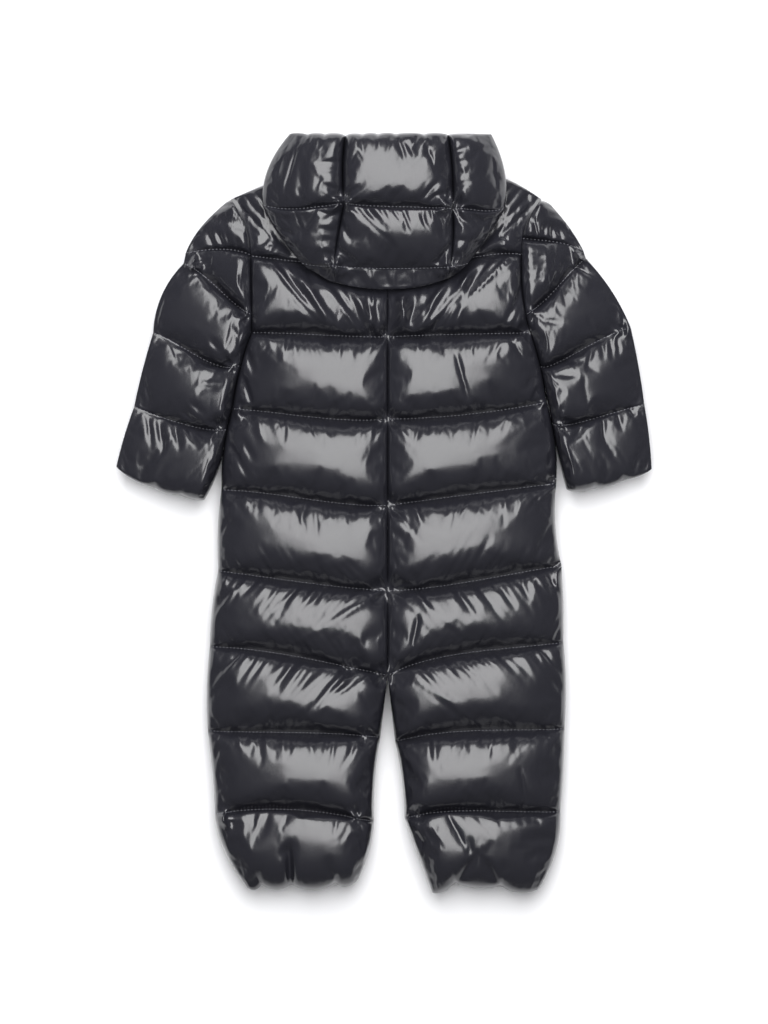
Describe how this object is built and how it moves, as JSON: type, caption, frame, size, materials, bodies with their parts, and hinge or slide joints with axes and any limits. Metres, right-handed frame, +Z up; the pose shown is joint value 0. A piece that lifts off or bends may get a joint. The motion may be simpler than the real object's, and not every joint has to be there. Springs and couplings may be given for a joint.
{
  "type": "kids padded snowsuit",
  "caption": "Child's hooded one-piece padded snowsuit, quilted in horizontal baffles, laid flat on its front with the hood folded on the back.",
  "frame": {"origin": "centre of the footprint, on the surface that the suit lies on", "axes": "+Y from the leg hems to the hood, +Z up out of the suit's back, +X to the right seen from above"},
  "size_m": [0.509, 0.72, 0.0883],
  "materials": {
    "shell": "glossy lacquered nylon",
    "thread": "polyester sewing thread",
    "zip_tape": "woven tape",
    "zip_metal": "black enamel"
  },
  "bodies": {
    "root": {"back_left": "shell", "back_right": "shell", "front_left": "shell", "front_right": "shell", "sleeve_left_back": "shell", "sleeve_left_front": "shell", "sleeve_right_back": "shell", "sleeve_right_front": "shell", "hood_centre": "shell", "hood_left": "shell", "hood_right": "shell", "hood_under": "shell", "front_zip": "zip_tape", "zip_slider": "zip_metal"}
  },
  "joints": []
}
